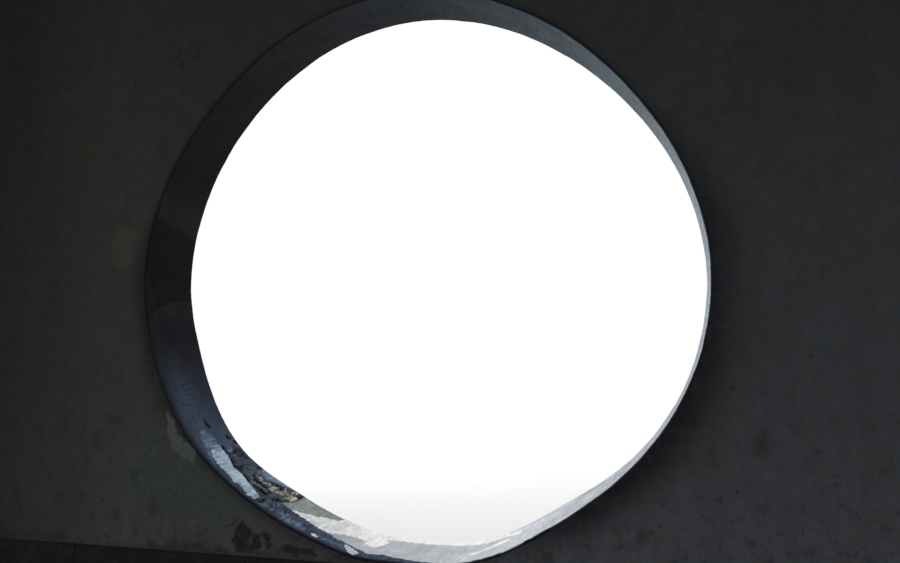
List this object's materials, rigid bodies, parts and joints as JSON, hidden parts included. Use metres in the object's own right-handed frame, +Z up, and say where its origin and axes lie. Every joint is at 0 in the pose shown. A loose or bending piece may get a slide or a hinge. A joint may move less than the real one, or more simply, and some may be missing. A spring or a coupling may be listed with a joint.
{
  "type": "moon gate wall bay",
  "caption": "Plastered brick garden wall bay with a round walk-through opening, stone plinth and tiled coping.",
  "frame": {"origin": "on the ground, at the middle of the bay's length and thickness", "axes": "+X along the wall, +Y through the wall away from the pictured face, +Z up"},
  "size_m": [4.8, 0.664, 3.4314],
  "materials": {
    "plaster": "matt",
    "render": "matt",
    "brick": "matt",
    "stone": "matt",
    "tile": "matt",
    "lime": "matt"
  },
  "bodies": {
    "root": {"threshold_stone": "stone", "plinth_stone_left": "stone", "plinth_stone_far_left": "stone", "plinth_stone_right": "stone", "plinth_stone_far_right": "stone", "pier_left": "brick", "pier_right": "brick", "haunch_lower_left": "brick", "haunch_lower_right": "brick", "haunch_upper_left": "brick", "haunch_upper_right": "brick", "wall_crown": "brick", "ring_foot": "brick", "ring_lower_right": "brick", "ring_right": "brick", "ring_upper_right": "brick", "ring_crown": "brick", "ring_upper_left": "brick", "ring_left": "brick", "ring_lower_left": "brick", "reveal_render": "render", "plaster_front": "plaster", "plaster_back": "plaster", "plaster_end_left": "plaster", "plaster_end_right": "plaster", "corbel_roll": "lime", "corbel_fascia": "lime", "coping_bed": "lime", "gutter_tiles_front": "tile", "gutter_tiles_back": "tile", "cover_tiles_front": "tile", "cover_tiles_back": "tile", "drip_tiles_front": "tile", "drip_tiles_back": "tile", "cover_ends_front": "tile", "cover_ends_back": "tile", "ridge_base": "lime", "ridge_cap": "tile"}
  },
  "joints": []
}
